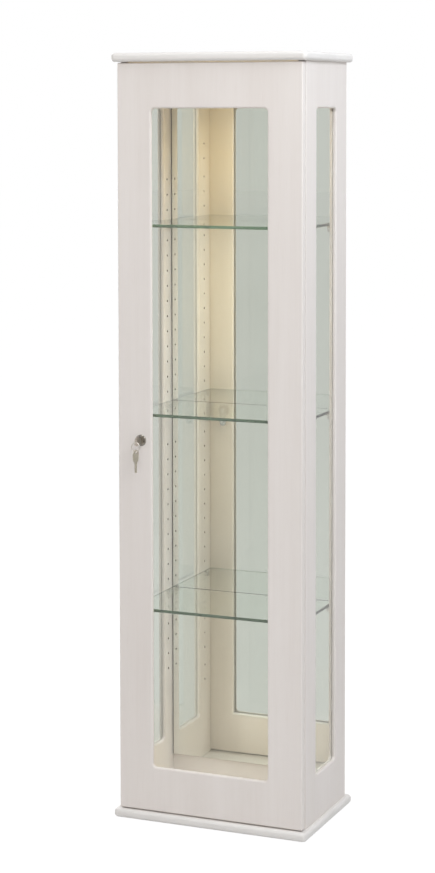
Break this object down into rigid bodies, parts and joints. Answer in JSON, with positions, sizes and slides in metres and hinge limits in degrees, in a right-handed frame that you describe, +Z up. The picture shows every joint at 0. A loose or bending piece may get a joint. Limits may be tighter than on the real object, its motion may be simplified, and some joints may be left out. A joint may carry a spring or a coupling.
{
  "type": "glass display case",
  "caption": "Tall narrow display case with a glazed locking door, glazed sides, a mirror back, lift-off glass shelves on pins and a recessed lamp.",
  "frame": {"origin": "middle of the base board's underside", "axes": "+Z up, -Y out of the door, +X to the hinge side as seen from the front"},
  "size_m": [0.42, 0.295, 1.56],
  "materials": {
    "veneer": "white-stained, satin",
    "clear_glass": "polished",
    "shelf_glass": "polished, green at the edges",
    "mirror_glass": "polished",
    "beech": "bare",
    "zinc": "zinc plated",
    "nickel": "nickel plated",
    "clear_plastic": "clear, soft",
    "black_plastic": "moulded",
    "lamp_metal": "satin white",
    "frosted_glass": "frosted"
  },
  "bodies": {
    "case": {"base_board": "veneer", "top_board": "veneer", "left_side_panel": "veneer", "right_side_panel": "veneer", "left_side_glass": "clear_glass", "right_side_glass": "clear_glass", "back_panel": "veneer", "mirror": "mirror_glass", "back_screws": "zinc", "board_dowels": "beech", "lamp_trim": "lamp_metal", "lamp_lens": "frosted_glass", "lamp_housing": "lamp_metal", "lamp_bulb": "frosted_glass", "cable_grommet": "black_plastic", "upper_shelf_pins": "nickel", "middle_shelf_pins": "nickel", "lower_shelf_pins": "nickel", "strike_plate": "zinc", "strike_screws": "zinc", "upper_hinge_plate": "nickel", "lower_hinge_plate": "nickel", "upper_hinge_arm": "nickel", "lower_hinge_arm": "nickel", "hinge_plate_screws": "zinc", "hinge_arm_screws": "zinc", "hinge_arm_pins": "nickel"},
    "hinge_links": {"upper_hinge_link": "nickel", "lower_hinge_link": "nickel"},
    "door": {"door_panel": "veneer", "door_glass": "clear_glass", "door_bead_top": "veneer", "door_bead_right": "veneer", "door_bead_bottom": "veneer", "door_bead_left": "veneer", "upper_hinge_cup": "nickel", "lower_hinge_cup": "nickel", "hinge_cup_screws": "zinc", "hinge_cup_pins": "nickel", "lock_housing": "nickel", "lock_nut": "nickel", "door_bumpers": "clear_plastic"},
    "lock_core": {"lock_plug": "nickel", "lock_cam": "nickel", "cam_screw": "zinc"},
    "key_in_lock": {"key": "nickel"},
    "ring": {"key_ring": "nickel"},
    "hanging_key": {"spare_key": "nickel"},
    "shelf_upper": {"upper_shelf": "shelf_glass"},
    "shelf_middle": {"middle_shelf": "shelf_glass"},
    "shelf_lower": {"lower_shelf": "shelf_glass"}
  },
  "joints": [
    {"name": "door_swing", "type": "hinge", "parent": "hinge_links", "child": "door", "pos_m": [0.1905, -0.1155, 0.78], "axis": [0, 0, 1], "range_deg": [0, 118]},
    {"name": "hinge_fold", "type": "hinge", "parent": "case", "child": "hinge_links", "pos_m": [0.1715, -0.112, 0.78], "axis": [0, 0, 1], "range_deg": [-32, 3]},
    {"name": "lock_turn", "type": "hinge", "parent": "door", "child": "lock_core", "pos_m": [-0.149, -0.125, 0.78], "axis": [0, 1, 0], "range_deg": [0, 90]},
    {"name": "key_pull", "type": "slide", "parent": "lock_core", "child": "key_in_lock", "axis": [0, -1, 0], "range_m": [0, 0.03]},
    {"name": "ring_swing", "type": "hinge", "parent": "key_in_lock", "child": "ring", "pos_m": [-0.149, -0.151, 0.78], "axis": [0, 1, 0], "range_deg": [-12, 12]},
    {"name": "spare_key_swing", "type": "hinge", "parent": "ring", "child": "hanging_key", "pos_m": [-0.149, -0.151, 0.76975], "axis": [0, 1, 0], "range_deg": [-95, 5]},
    {"name": "upper_shelf_lift", "type": "slide", "parent": "case", "child": "shelf_upper", "axis": [0, 0, 1], "range_m": [0, 0.025]},
    {"name": "middle_shelf_lift", "type": "slide", "parent": "case", "child": "shelf_middle", "axis": [0, 0, 1], "range_m": [0, 0.025]},
    {"name": "lower_shelf_lift", "type": "slide", "parent": "case", "child": "shelf_lower", "axis": [0, 0, 1], "range_m": [0, 0.025]}
  ],
  "couplings": [
    {"joint": "hinge_fold", "follows": "door_swing", "ratio": -0.21875},
    {"joint": "spare_key_swing", "follows": "lock_turn", "ratio": -1}
  ]
}
